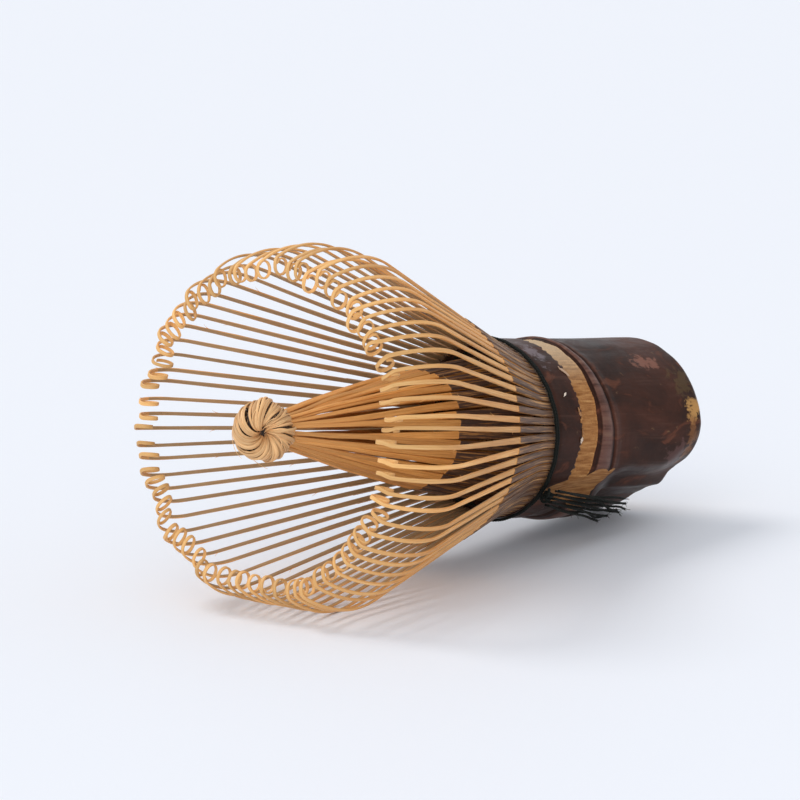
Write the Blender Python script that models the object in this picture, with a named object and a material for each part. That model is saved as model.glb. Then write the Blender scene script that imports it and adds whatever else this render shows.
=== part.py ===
"""Bamboo tea whisk lying on its side, with its mouth towards -X and its handle towards +X.

The whisk is one bamboo culm below a knot of thread. The culm's lower half is the handle. Its
upper half is split into a ring of outer tines, whose tips curl inwards, and a ring of inner
tines, which are drawn together and twisted into a knot. Each run of tines that stays joined at
its root is one solid. All sizes are in metres. Z is up and the table is at Z = 0.
"""
from math import asin, cos, hypot, pi, radians, sin, tau

import bmesh
import bpy
from mathutils import Matrix, Vector

MM = 0.001

# Driving dimensions of the culm, measured along the whisk's axis from the end of the handle.
HANDLE_RADIUS = 14.5 * MM
HANDLE_TOP = 36.2 * MM
BAMBOO_WALL = 4.2 * MM
NODE_START = 24.0 * MM
NODE_LENGTH = 4.2 * MM
NODE_RISE = 0.5 * MM
SHAVED_RING_LENGTH = 3.6 * MM
SHAVED_RING_DEPTH = 0.25 * MM
NODE_SLANT = 1.4 * MM
DIAPHRAGM_BOTTOM = 24.8 * MM
DIAPHRAGM_TOP = 27.0 * MM
CUP_RADIUS = 9.2 * MM
HANDLE_SIDES = 56

# The flattened side of the grip, with its two shallow channels. Angles run about the axis from
# straight up, and the negative side is the one that faces -Y.
FLAT_ANGLE = radians(-152.0)
FLAT_DISTANCE = 0.695 * HANDLE_RADIUS
FLAT_END = 18.5 * MM
CHANNEL_DEPTH = 0.45 * MM
CORNER_BLEND = 0.5 * MM
BORE_BLEND = 3.5 * MM

# The two rings of tines start just above the culm, on either side of the thread.
GAP = 0.3 * MM
ROOT_START = HANDLE_TOP + GAP
ROOT_LENGTH = 2.2 * MM

OUTER_SPLITS = 24
OUTER_TINES_PER_SPLIT = 3
OUTER_ROOT_RADIUS = 13.25 * MM
OUTER_ROOT_THICKNESS = 0.8 * MM
OUTER_TIP_THICKNESS = 0.32 * MM
OUTER_SLIT = 0.27 * MM
OUTER_WIDTH = 1.0 * MM
OUTER_TIP_WIDTH = 0.62 * MM

# The path of an outer tine: out from the root on a bend, straight, over a shoulder, and round
# the curl at its tip.
FLARE_ANGLE = radians(20.5)
FLARE_BEND_RADIUS = 12.0 * MM
FLARE_LENGTH = 33.2 * MM
SHOULDER_RADIUS = 17.1 * MM
SHOULDER_DROP_ANGLE = radians(29.5)
CURL_RADIUS = 1.2 * MM
CURL_ANGLE = radians(325.0)

INNER_SPLITS = 12
INNER_TINES_PER_SPLIT = 3
INNER_ROOT_RADIUS = 10.6 * MM
INNER_ROOT_THICKNESS = 0.9 * MM
INNER_TIP_THICKNESS = 0.5 * MM
INNER_SLIT = 0.3 * MM
INNER_TIP_WIDTH = 0.18 * MM
INNER_WAIST = (60.0 * MM, 8.3 * MM)
INNER_TIP = (84.3 * MM, 2.7 * MM)
INNER_STATIONS = 6

KNOT_CENTRE = 88.3 * MM
KNOT_RADIUS = 4.25 * MM
KNOT_HALF_LENGTH = 3.7 * MM
KNOT_DIMPLE_RADIUS = 0.9 * MM
KNOT_DIMPLE_DEPTH = 2.4 * MM
KNOT_SIDES = 28

# The knot is not drawn up straight: its dimple faces to the -Y side and a little down.
KNOT_TURN = radians(42.0)
KNOT_DIP = radians(-11.0)

THREAD_DIAMETER = 0.9 * MM
WRAP_POSITION = 37.9 * MM
WEAVE_POSITION = 38.0 * MM
WRAP_SIDES = 56
THREAD_KNOT_ANGLE = radians(-126.0)
TAIL_LENGTH = 22.0 * MM
TAIL_SPACING = radians(3.4)
TAIL_DROOP = radians(13.0)
TAIL_COUNT = 5

# The whisk lies on the rim of its mouth and on the end of its handle.
LYING_TILT = radians(8.97)
TINE_CLEARANCE = 0.3 * MM
TABLE_SEARCH_STEPS = 24

COLOURS = {
    "tine_bamboo": ((0.72, 0.47, 0.24), 0.55),
    "inner_bamboo": ((0.52, 0.27, 0.11), 0.6),
    "handle_bamboo": ((0.06, 0.03, 0.024), 0.35),
    "thread": ((0.012, 0.014, 0.011), 0.85),
}


def clear_scene():
    for item in list(bpy.data.objects):
        bpy.data.objects.remove(item, do_unlink=True)


def make_material(name):
    colour, roughness = COLOURS[name]
    material = bpy.data.materials.new(name)
    material.use_nodes = True
    shader = material.node_tree.nodes["Principled BSDF"]
    shader.inputs["Base Color"].default_value = (*colour, 1.0)
    shader.inputs["Roughness"].default_value = roughness
    shader.inputs["Metallic"].default_value = 0.0
    return material


def add_part(name, mesh, material, axis_frame):
    part = bpy.data.objects.new(name, mesh)
    part.data.materials.append(material)
    part.parent = axis_frame
    bpy.context.collection.objects.link(part)
    return part


def finish_mesh(name, build):
    """Turn a bmesh into a mesh with its faces out and its round sides smooth."""
    bmesh.ops.recalc_face_normals(build, faces=build.faces[:])
    mesh = bpy.data.meshes.new(name)
    build.to_mesh(mesh)
    build.free()
    mesh.shade_smooth()
    mesh.set_sharp_from_angle(angle=radians(40.0))
    return mesh


def polar(station, radius, angle):
    """A point of the whisk: along its axis, out from it, and round it from the top."""
    return Vector((radius * cos(angle), radius * sin(angle), station))


def smooth_least(first, second, blend):
    """The lesser of two lengths, rounded over where they are close."""
    share = max(blend - abs(first - second), 0.0) / blend
    return min(first, second) - share * share * blend / 4.0


# ---------------------------------------------------------------- culm

def flat_distance(station):
    """How far the flattened side lies from the axis. It runs out below the thread."""
    share = (station - FLAT_END) / (HANDLE_TOP - FLAT_END)
    return FLAT_DISTANCE + (HANDLE_RADIUS - FLAT_DISTANCE) * max(share, 0.0)


def flattened(round_radius, distance, angle, channel, blend):
    """The radius at an angle of a round outline that has one flattened side."""
    across = (angle - FLAT_ANGLE + pi) % tau - pi
    if abs(across) > radians(80.0):
        return round_radius
    dip = channel * sin(min(abs(across) / radians(40.0), 1.0) * pi) ** 2
    return smooth_least(round_radius, distance / cos(across) - dip, blend)


def slant_share(station):
    """The node is cut on a slant: all of it there, and none at either end of the handle."""
    ring_end = NODE_START + NODE_LENGTH + SHAVED_RING_LENGTH
    return min(1.0, station / NODE_START, (HANDLE_TOP - station) / (HANDLE_TOP - ring_end))


def culm_outline():
    """The outside of the handle as stations along the axis and round radii."""
    ring_end = NODE_START + NODE_LENGTH + SHAVED_RING_LENGTH
    scar = NODE_START - 1.0 * MM
    return [
        (0.0, HANDLE_RADIUS - 0.8 * MM),
        (0.25 * MM, HANDLE_RADIUS - 0.25 * MM),
        (0.9 * MM, HANDLE_RADIUS),
        (9.0 * MM, HANDLE_RADIUS - 0.1 * MM),
        (FLAT_END, HANDLE_RADIUS - 0.05 * MM),
        (scar - 0.5 * MM, HANDLE_RADIUS),
        (scar, HANDLE_RADIUS - SHAVED_RING_DEPTH),
        (NODE_START, HANDLE_RADIUS),
        (NODE_START + 0.2 * NODE_LENGTH, HANDLE_RADIUS + NODE_RISE),
        (NODE_START + 0.8 * NODE_LENGTH, HANDLE_RADIUS + NODE_RISE),
        (NODE_START + NODE_LENGTH, HANDLE_RADIUS - SHAVED_RING_DEPTH),
        (ring_end - 0.3 * MM, HANDLE_RADIUS - SHAVED_RING_DEPTH),
        (ring_end + 0.3 * MM, HANDLE_RADIUS + 0.1 * MM),
        (HANDLE_TOP - 1.0 * MM, HANDLE_RADIUS),
        (HANDLE_TOP, HANDLE_RADIUS - 0.6 * MM),
    ]


def bore_outline():
    """The bore of the grip, from its mouth at the handle's end up to the diaphragm."""
    bore = HANDLE_RADIUS - BAMBOO_WALL
    return [(0.0, bore), (0.5 * DIAPHRAGM_BOTTOM, bore), (DIAPHRAGM_BOTTOM, bore - 0.6 * MM)]


def cup_outline():
    """The hollow above the diaphragm, from the tines down."""
    return [(HANDLE_TOP, CUP_RADIUS), (DIAPHRAGM_TOP, CUP_RADIUS - 0.6 * MM)]


def add_ring(build, station, radii, slant=0.0):
    """A ring of points about the axis, leaning forwards at its top by the slant."""
    ring = []
    for i, radius in enumerate(radii):
        angle = tau * i / len(radii)
        ring.append(build.verts.new(polar(station + slant * cos(angle), radius, angle)))
    return ring


def join_rings(build, first, second):
    count = len(first)
    for i in range(count):
        j = (i + 1) % count
        build.faces.new((first[i], first[j], second[j], second[i]))


def close_ring(build, ring, centre):
    hub = build.verts.new(centre)
    count = len(ring)
    for i in range(count):
        build.faces.new((ring[i], ring[(i + 1) % count], hub))


def add_culm_rings(build):
    """The rings of the culm in order: up its bore, up its outside, and down its cup."""
    angles = [tau * i / HANDLE_SIDES for i in range(HANDLE_SIDES)]
    rings = []
    for station, radius in reversed(bore_outline()):
        inside = flat_distance(station) - BAMBOO_WALL
        radii = [flattened(radius, inside, a, 0.0, BORE_BLEND) for a in angles]
        rings.append(add_ring(build, station, radii))
    for station, radius in culm_outline():
        flat = flat_distance(station)
        channel = CHANNEL_DEPTH * min(1.0, (HANDLE_TOP - station) / (HANDLE_TOP - FLAT_END))
        radii = [flattened(radius, flat, a, channel, CORNER_BLEND) for a in angles]
        rings.append(add_ring(build, station, radii, NODE_SLANT * slant_share(station)))
    for station, radius in cup_outline():
        rings.append(add_ring(build, station, [radius] * HANDLE_SIDES))
    return rings


def make_culm():
    """The handle: a tube with a diaphragm at its node and a flattened side along its grip."""
    build = bmesh.new()
    rings = add_culm_rings(build)
    for first, second in zip(rings, rings[1:]):
        join_rings(build, first, second)
    close_ring(build, rings[0], (0.0, 0.0, DIAPHRAGM_BOTTOM))
    close_ring(build, rings[-1], (0.0, 0.0, DIAPHRAGM_TOP))
    return finish_mesh("handle_culm", build)


# ---------------------------------------------------------------- tines

def walk(point, heading, turn, radius, steps):
    """Follow an arc in the plane of the axis and a radius. Returns its points and headings."""
    station, reach = point
    path = []
    side = 1.0 if turn > 0.0 else -1.0
    centre = (station - side * radius * sin(heading), reach + side * radius * cos(heading))
    for i in range(1, steps + 1):
        angle = heading + turn * i / steps
        place = (centre[0] + side * radius * sin(angle), centre[1] - side * radius * cos(angle))
        path.append((place, angle))
    return path


def outer_path(flare):
    """The middle line of an outer tine, as points with headings from the axis."""
    start = (ROOT_START + ROOT_LENGTH, OUTER_ROOT_RADIUS)
    path = [(start, 0.0)]
    path += walk(start, 0.0, flare, FLARE_BEND_RADIUS, 2)
    bend_end = path[-1][0]
    shoulder = (bend_end[0] + FLARE_LENGTH * cos(flare), bend_end[1] + FLARE_LENGTH * sin(flare))
    path.append((shoulder, flare))
    path += walk(shoulder, flare, -(flare + SHOULDER_DROP_ANGLE), SHOULDER_RADIUS, 4)
    path += walk(path[-1][0], path[-1][1], -CURL_ANGLE, CURL_RADIUS, 6)
    return path


def inner_path():
    """The middle line of an inner tine, drawn in from its root to the knot."""
    start = (ROOT_START + ROOT_LENGTH, INNER_ROOT_RADIUS)
    path = [(start, 0.0)]
    for i in range(1, INNER_STATIONS + 1):
        t = i / INNER_STATIONS
        weights = ((1 - t) ** 2, 2 * t * (1 - t), t * t)
        points = (start, INNER_WAIST, INNER_TIP)
        place = tuple(sum(w * p[k] for w, p in zip(weights, points)) for k in (0, 1))
        slope = [(1 - t) * (INNER_WAIST[k] - start[k]) + t * (INNER_TIP[k] - INNER_WAIST[k])
                 for k in (0, 1)]
        path.append((place, asin(slope[1] / hypot(*slope))))
    return path


def tine_sections(path, angle, root_size, tip_size):
    """The four corners of a tine at each point of its path after the first."""
    sideways = Vector((-sin(angle), cos(angle), 0.0))
    last = len(path) - 1
    sections = []
    for i in range(1, last + 1):
        (station, reach), heading = path[i]
        share = i / last
        width = root_size[0] + (tip_size[0] - root_size[0]) * share
        thickness = root_size[1] + (tip_size[1] - root_size[1]) * share
        middle = polar(station, reach, angle)
        outwards = polar(-sin(heading), cos(heading), angle) * (thickness / 2.0)
        across = sideways * (width / 2.0)
        sections.append([middle - across - outwards, middle + across - outwards,
                         middle + across + outwards, middle - across + outwards])
    return sections


def add_tine(build, root_corners, sections):
    """Carry a tine on from the four corners that its root block gives it."""
    last = root_corners
    for section in sections:
        corners = [build.verts.new(point) for point in section]
        for k in range(4):
            n = (k + 1) % 4
            build.faces.new((last[k], last[n], corners[n], corners[k]))
        last = corners
    build.faces.new(last)


def make_split(name, first_angle, pitch, tine_count, root, paths, tine_sizes):
    """A run of tines that stay joined at their root, as one closed solid."""
    root_radius, root_thickness, slit = root
    root_size, tip_size = tine_sizes
    build = bmesh.new()
    half = (pitch * root_radius - slit) / (2.0 * root_radius)
    edges = []
    for k in range(tine_count):
        middle = first_angle + pitch * k
        edges += [middle - half, middle + half]
    radii = (root_radius - root_thickness / 2.0, root_radius + root_thickness / 2.0)
    levels = (ROOT_START, ROOT_START + ROOT_LENGTH)
    grid = {}
    for column, angle in enumerate(edges):
        for side, radius in enumerate(radii):
            for level, station in enumerate(levels):
                grid[column, side, level] = build.verts.new(polar(station, radius, angle))
    last = len(edges) - 1
    for column in range(last):
        for side in (0, 1):
            build.faces.new((grid[column, side, 0], grid[column + 1, side, 0],
                             grid[column + 1, side, 1], grid[column, side, 1]))
        levels_to_close = (0,) if column % 2 == 0 else (0, 1)
        for level in levels_to_close:
            build.faces.new((grid[column, 0, level], grid[column + 1, 0, level],
                             grid[column + 1, 1, level], grid[column, 1, level]))
    for column in (0, last):
        build.faces.new((grid[column, 0, 0], grid[column, 1, 0],
                         grid[column, 1, 1], grid[column, 0, 1]))
    for k in range(tine_count):
        left, right = 2 * k, 2 * k + 1
        corners = [grid[left, 0, 1], grid[right, 0, 1], grid[right, 1, 1], grid[left, 1, 1]]
        angle = first_angle + pitch * k
        add_tine(build, corners, tine_sections(paths[k], angle, root_size, tip_size))
    return finish_mesh(name, build)


def height_of(station, reach, angle, end_height):
    """Height above the table of a point of the whisk as it lies."""
    return end_height + station * sin(LYING_TILT) + reach * cos(angle) * cos(LYING_TILT)


def resting_flare(angle, end_height):
    """The flare of a tine at this angle. The lowest tines are pushed in by the table."""
    def lowest(flare):
        return min(height_of(s, r, angle, end_height) for (s, r), _ in outer_path(flare))
    if lowest(FLARE_ANGLE) >= TINE_CLEARANCE:
        return FLARE_ANGLE
    pushed, free = 0.8 * FLARE_ANGLE, FLARE_ANGLE
    for _ in range(TABLE_SEARCH_STEPS):
        middle = (pushed + free) / 2.0
        if lowest(middle) >= TINE_CLEARANCE:
            pushed = middle
        else:
            free = middle
    return pushed


def make_outer_splits(end_height, material, axis_frame):
    pitch = tau / (OUTER_SPLITS * OUTER_TINES_PER_SPLIT)
    root = (OUTER_ROOT_RADIUS, OUTER_ROOT_THICKNESS, OUTER_SLIT)
    sizes = ((OUTER_WIDTH, 0.5 * OUTER_ROOT_THICKNESS), (OUTER_TIP_WIDTH, OUTER_TIP_THICKNESS))
    for number in range(OUTER_SPLITS):
        first_angle = pitch * (OUTER_TINES_PER_SPLIT * number - 1)
        angles = [first_angle + pitch * k for k in range(OUTER_TINES_PER_SPLIT)]
        paths = [outer_path(resting_flare(angle, end_height)) for angle in angles]
        name = f"outer_split_{number + 1:02d}"
        mesh = make_split(name, first_angle, pitch, OUTER_TINES_PER_SPLIT, root, paths, sizes)
        add_part(name, mesh, material, axis_frame)


def make_inner_splits(material, axis_frame):
    pitch = tau / (INNER_SPLITS * INNER_TINES_PER_SPLIT)
    root = (INNER_ROOT_RADIUS, INNER_ROOT_THICKNESS, INNER_SLIT)
    root_width = pitch * INNER_ROOT_RADIUS - INNER_SLIT
    sizes = ((root_width, INNER_ROOT_THICKNESS), (INNER_TIP_WIDTH, INNER_TIP_THICKNESS))
    paths = [inner_path()] * INNER_TINES_PER_SPLIT
    for number in range(INNER_SPLITS):
        first_angle = pitch * (INNER_TINES_PER_SPLIT * number - 1)
        name = f"inner_split_{number + 1:02d}"
        mesh = make_split(name, first_angle, pitch, INNER_TINES_PER_SPLIT, root, paths, sizes)
        add_part(name, mesh, material, axis_frame)


# ---------------------------------------------------------------- knot of the inner tines

def make_inner_knot():
    """The twisted ends of the inner tines: a flattened ball with a dimple at its front."""
    build = bmesh.new()
    rings = []
    steps = 9
    for i in range(1, steps):
        angle = pi * i / steps
        station = KNOT_CENTRE - KNOT_HALF_LENGTH * cos(angle)
        radius = KNOT_RADIUS * sin(angle) ** 0.8
        rings.append(add_ring(build, station, [radius] * KNOT_SIDES))
    front = KNOT_CENTRE + KNOT_HALF_LENGTH - 0.3 * MM
    floor = front - KNOT_DIMPLE_DEPTH
    rings.append(add_ring(build, front, [KNOT_DIMPLE_RADIUS] * KNOT_SIDES))
    rings.append(add_ring(build, floor, [0.6 * KNOT_DIMPLE_RADIUS] * KNOT_SIDES))
    for first, second in zip(rings, rings[1:]):
        join_rings(build, first, second)
    close_ring(build, rings[0], (0.0, 0.0, KNOT_CENTRE - KNOT_HALF_LENGTH))
    close_ring(build, rings[-1], (0.0, 0.0, floor))
    centre = Vector((0.0, 0.0, KNOT_CENTRE))
    turn = Matrix.Rotation(KNOT_TURN, 3, "X") @ Matrix.Rotation(KNOT_DIP, 3, "Y")
    bmesh.ops.rotate(build, cent=centre, matrix=turn, verts=build.verts)
    return finish_mesh("inner_knot", build)


# ---------------------------------------------------------------- thread

def make_thread_ring(name, radius, station):
    """One closed turn of thread about the whisk's axis."""
    build = bmesh.new()
    rings = []
    sides = 6
    half = THREAD_DIAMETER / 2.0
    for k in range(sides):
        angle = tau * k / sides
        rings.append(add_ring(build, station + half * sin(angle),
                              [radius + half * cos(angle)] * WRAP_SIDES))
    for k in range(sides):
        join_rings(build, rings[k], rings[(k + 1) % sides])
    return finish_mesh(name, build)


def wrap_radius():
    return OUTER_ROOT_RADIUS + (OUTER_ROOT_THICKNESS + THREAD_DIAMETER) / 2.0 + GAP


def make_thread_knot():
    """The tight double knot on the wrap, drawn up against the thread's ring."""
    build = bmesh.new()
    bmesh.ops.create_icosphere(build, subdivisions=2, radius=1.0)
    size = Vector((0.75 * MM, 1.3 * MM, 1.1 * MM))
    reach = wrap_radius() + THREAD_DIAMETER / 2.0 + GAP + size.x
    turn = Matrix.Rotation(THREAD_KNOT_ANGLE, 4, "Z")
    move = Matrix.Translation(polar(WRAP_POSITION, reach, THREAD_KNOT_ANGLE))
    bmesh.ops.transform(build, matrix=move @ turn @ Matrix.Diagonal(size).to_4x4(),
                        verts=build.verts)
    return finish_mesh("thread_knot", build)


def tail_points(number):
    """A loose end of the thread: it leaves the knot towards the handle's end and droops."""
    spread = number - (TAIL_COUNT - 1) / 2.0
    length = TAIL_LENGTH - (0.7 * abs(spread) + 0.4 * number) * MM
    start_angle = THREAD_KNOT_ANGLE - TAIL_SPACING * spread
    droop = TAIL_DROOP + radians(1.6) * spread
    points = []
    steps = 8
    for i in range(steps + 1):
        t = i / steps
        angle = start_angle - droop * t
        reach = wrap_radius() + 1.6 * MM + (0.5 + 0.12 * spread * spread) * MM * t * (1 - t)
        points.append(polar(WRAP_POSITION - 1.9 * MM - length * t, reach, angle))
    return points


def make_tail(number, material, axis_frame):
    name = f"thread_tail_{number + 1}"
    curve = bpy.data.curves.new(name, "CURVE")
    curve.dimensions = "3D"
    curve.bevel_depth = 0.36 * THREAD_DIAMETER
    curve.bevel_resolution = 2
    curve.use_fill_caps = True
    points = tail_points(number)
    spline = curve.splines.new("POLY")
    spline.points.add(len(points) - 1)
    for control, point in zip(spline.points, points):
        control.co = (*point, 1.0)
    add_part(name, curve, material, axis_frame)


def make_thread(material, axis_frame):
    add_part("thread_wrap", make_thread_ring("thread_wrap", wrap_radius(), WRAP_POSITION),
             material, axis_frame)
    inner_face = INNER_ROOT_RADIUS + INNER_ROOT_THICKNESS / 2.0
    outer_face = OUTER_ROOT_RADIUS - OUTER_ROOT_THICKNESS / 2.0
    weave = make_thread_ring("thread_weave", (inner_face + outer_face) / 2.0, WEAVE_POSITION)
    add_part("thread_weave", weave, material, axis_frame)
    add_part("thread_knot", make_thread_knot(), material, axis_frame)
    for number in range(TAIL_COUNT):
        make_tail(number, material, axis_frame)


# ---------------------------------------------------------------- whole whisk

def lowest_of(mesh):
    """Height of a mesh's lowest point when the end of the axis is at height zero."""
    return min(v.co.z * sin(LYING_TILT) + v.co.x * cos(LYING_TILT) for v in mesh.vertices)


def place_axis(axis_frame, end_height):
    """Lay the axis down, mouth towards -X, and centre the whisk over the origin."""
    along = Vector((-cos(LYING_TILT), 0.0, sin(LYING_TILT)))
    upwards = Vector((sin(LYING_TILT), 0.0, cos(LYING_TILT)))
    turn = Matrix((upwards, (0.0, 1.0, 0.0), along)).transposed().to_4x4()
    axis_frame.matrix_world = turn
    bpy.context.view_layer.update()
    points = [part.matrix_world @ v.co for part in axis_frame.children
              if part.type == "MESH" for v in part.data.vertices]
    middle_x = (min(p.x for p in points) + max(p.x for p in points)) / 2.0
    middle_y = (min(p.y for p in points) + max(p.y for p in points)) / 2.0
    axis_frame.matrix_world = Matrix.Translation((-middle_x, -middle_y, end_height)) @ turn


def main():
    clear_scene()
    materials = {name: make_material(name) for name in COLOURS}
    axis_frame = bpy.data.objects.new("whisk_axis", None)
    bpy.context.collection.objects.link(axis_frame)
    culm = make_culm()
    end_height = -lowest_of(culm)
    add_part("handle_culm", culm, materials["handle_bamboo"], axis_frame)
    make_outer_splits(end_height, materials["tine_bamboo"], axis_frame)
    make_inner_splits(materials["inner_bamboo"], axis_frame)
    add_part("inner_knot", make_inner_knot(), materials["inner_bamboo"], axis_frame)
    make_thread(materials["thread"], axis_frame)
    place_axis(axis_frame, end_height)


main()
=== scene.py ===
"""Looks of the bamboo tea whisk, built over its CAD nodes.

Shapes are worked out in millimetres along the whisk's own axes: x up from the axis, y to its
side and z along it, from the end of the handle to the mouth. They are turned into the row
frame when each piece is made. Every piece carries two painted values for its material: "lay",
the place in its own grain, and "mask". On a tine, mask holds skin (1), wood (0) or inner face
(-1, painted greyer as shade), then the strip's own tone, then how near its tip it is. On the
handle it holds bare flesh, then ridge (above 0) or groove (below 0, painted near-black as shade),
then cut face. In the knot's core, skin (1) stands for painted shade.
"""
from math import cos, exp, pi, radians, sin, tau

import bpy
import numpy as np
from mathutils import Matrix, Vector


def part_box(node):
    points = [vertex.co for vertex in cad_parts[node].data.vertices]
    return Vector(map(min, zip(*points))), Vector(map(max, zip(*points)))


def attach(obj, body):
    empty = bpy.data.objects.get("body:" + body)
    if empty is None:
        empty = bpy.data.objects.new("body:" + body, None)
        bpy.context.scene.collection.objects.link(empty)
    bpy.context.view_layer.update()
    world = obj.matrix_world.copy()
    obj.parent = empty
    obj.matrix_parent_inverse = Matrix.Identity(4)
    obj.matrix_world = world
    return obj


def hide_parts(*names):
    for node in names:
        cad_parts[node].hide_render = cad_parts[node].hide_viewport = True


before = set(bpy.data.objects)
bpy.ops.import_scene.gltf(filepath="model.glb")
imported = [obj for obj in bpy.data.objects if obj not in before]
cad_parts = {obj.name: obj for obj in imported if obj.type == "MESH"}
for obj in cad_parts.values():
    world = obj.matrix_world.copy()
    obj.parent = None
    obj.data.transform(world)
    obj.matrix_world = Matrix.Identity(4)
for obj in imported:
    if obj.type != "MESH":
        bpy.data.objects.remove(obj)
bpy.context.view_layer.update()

MM = 0.001

# ---- the whisk's own axes

LYING_TILT = radians(8.97)
ALONG = np.array((-cos(LYING_TILT), 0.0, sin(LYING_TILT)))
UPWARDS = np.array((sin(LYING_TILT), 0.0, cos(LYING_TILT)))
SIDEWAYS = np.array((0.0, 1.0, 0.0))
WEAVE_POSITION = 38.0
weave_low, weave_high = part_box("thread_weave")
HANDLE_END = np.array((weave_low + weave_high) / 2.0) - ALONG * WEAVE_POSITION * MM

# Sizes of the culm, in millimetres.
HANDLE_RADIUS = 14.5
HANDLE_TOP = 36.2
BAMBOO_WALL = 4.2
RIDGE_FOOT = (23.1, 23.9)
RIDGE_CREST = (25.9, 26.4)
LOWER_LINE = 22.2
UPPER_GROOVE = 26.4
GROOVE_POSITION = 22.9
GROOVE_SLANT = 2.2
NODE_END = 27.0
RING_END = 31.4
DIAPHRAGM_BOTTOM = 24.8
DIAPHRAGM_TOP = 27.0
CUP_RADIUS = 9.2
COLLAR_RISE = 0.95
FLAT_ANGLE = radians(-152.0)
FLAT_DISTANCE = 0.695 * HANDLE_RADIUS
FLAT_END = 18.5

# Sizes of the tines.
ROOT_START = 36.5
ROOT_LENGTH = 2.2
OUTER_SPLITS = 24
INNER_SPLITS = 12
TINES_PER_SPLIT = 3
OUTER_ROOT_RADIUS = 13.25
OUTER_ROOT_FACES = (12.85, 13.65)
OUTER_SLIT = 0.16
OUTER_THICKNESS = (0.62, 0.46, 0.36, 0.3, 0.2)
OUTER_SKIN = 0.13
TINE_START = 36.6
TINE_FOOT = 0.7
FLARE_ANGLE = radians(19.75)
FLARE_BEND_RADIUS = 12.0
FLARE_LENGTH = 34.7
SHOULDER_RADIUS = 17.1
FAR_FLARE_CHANGE = radians(-2.75)
FAR_FLARE_LENGTH = 41.0
FAR_SHOULDER_RADIUS = 10.0
SHOULDER_DROP = radians(29.5)
CURL_RADIUS = 1.2
CURL_DEGREES = 388.0
CURL_LEAN = 0.42
CURL_LEVEL_REACH = 0.4
CURL_SHIFT = 0.42
PARTING_ANGLE = radians(-92.5)
PARTING_REACH = radians(14.0)
PARTING_LEAN = radians(0.85)
TABLE_GAP = 0.24
SKIN_END = 52.6
INNER_ROOT_RADIUS = 10.6
INNER_ROOT_FACES = (10.15, 11.05)
INNER_SLIT = 0.2
INNER_WIDTH = (1.6, 1.46, 1.14, 0.5)
INNER_THICKNESS = (0.8, 0.55, 0.36)
INNER_SKIN = 0.1
INNER_WAIST = (60.5, 8.5)
INNER_TIP = (84.6, 2.2)
INNER_SKIN_END = 54.2
KNOT_CENTRE = 88.3
KNOT_RADIUS = 4.25
KNOT_HALF_LENGTH = 3.7
KNOT_STRANDS = 124
KNOT_STRAYS = 9
KNOT_BUNCHES = 16
KNOT_RING = 2.45
KNOT_TURN = radians(42.0)
KNOT_DIP = radians(-11.0)
WRAP_POSITION = 37.6
WRAP_SLANT = 1.4
WRAP_RADIUS = 14.4
WRAP_YARN = 0.47
WEAVE_RADIUS = 11.92
WEAVE_YARN = 0.6
THREAD_KNOT_ANGLE = radians(-126.0)
TAILS = 5
TAIL_LENGTH = 22.4
TAIL_YARN = 0.42
TAIL_SPACING = radians(2.6)
TAIL_DROOP = 12.0


def to_world(points):
    """Row-frame metres of points given in millimetres along the whisk's own axes."""
    points = np.asarray(points, float)
    axes = np.stack((UPWARDS, SIDEWAYS, ALONG))
    return HANDLE_END + points @ axes * MM


def height(points):
    return to_world(points)[..., 2] / MM


def polar(station, reach, angle):
    """Points from their place along the axis, distance from it and angle from the top."""
    station, reach, angle = np.broadcast_arrays(station, reach, angle)
    return np.stack((reach * np.cos(angle), reach * np.sin(angle), station), axis=-1)


def unit(vectors):
    return vectors / np.maximum(np.linalg.norm(vectors, axis=-1, keepdims=True), 1e-9)


def smooth_step(value, low, high):
    share = np.clip((value - low) / (high - low), 0.0, 1.0)
    return share * share * (3.0 - 2.0 * share)


def wobble(value, length, source, terms=5):
    """A smooth random curve of about unit height over a value, with this typical length."""
    total = np.zeros_like(np.asarray(value, float))
    for _ in range(terms):
        wave = length * source.uniform(0.6, 2.4)
        total = total + source.normal() * np.sin(tau * value / wave + source.uniform(0.0, tau))
    return total / np.sqrt(terms)


def ring_wobble(angle, low, high, source, terms=8):
    """A random curve round a full turn that meets itself, with these fewest and most waves."""
    total = np.zeros_like(np.asarray(angle, float))
    for _ in range(terms):
        waves = int(source.integers(low, high + 1))
        total = total + source.normal() * np.sin(waves * angle + source.uniform(0.0, tau))
    return total / np.sqrt(terms)


# ---- pieces

class Shape:
    """The points, faces and painted values of one piece while it is being built."""

    def __init__(self):
        self.points = []
        self.lay = []
        self.mask = []
        self.faces = []
        self.count = 0

    def add(self, points, faces, lay, mask):
        self.points.append(points.reshape(-1, 3))
        self.lay.append(lay.reshape(-1, 3))
        self.mask.append(np.broadcast_to(mask, lay.shape).reshape(-1, 3))
        self.faces += [tuple(corner + self.count for corner in face) for face in faces]
        self.count += len(self.points[-1])

    def piece(self, name, material, slot, nodes, sharp=38.0):
        """Make the piece, stand it in for its CAD nodes and let it ride on their body."""
        mesh = bpy.data.meshes.new(name)
        mesh.from_pydata(to_world(np.concatenate(self.points)).tolist(), [], self.faces)
        for label, values in (("lay", self.lay), ("mask", self.mask)):
            attribute = mesh.attributes.new(label, "FLOAT_VECTOR", "POINT")
            attribute.data.foreach_set("vector", np.concatenate(values).astype(np.float32).ravel())
        mesh.materials.append(material)
        mesh.shade_smooth()
        mesh.set_sharp_from_angle(angle=radians(sharp))
        piece = bpy.data.objects.new(name, mesh)
        bpy.context.collection.objects.link(piece)
        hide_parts(*nodes)
        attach(piece, "root")
        return piece


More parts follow.
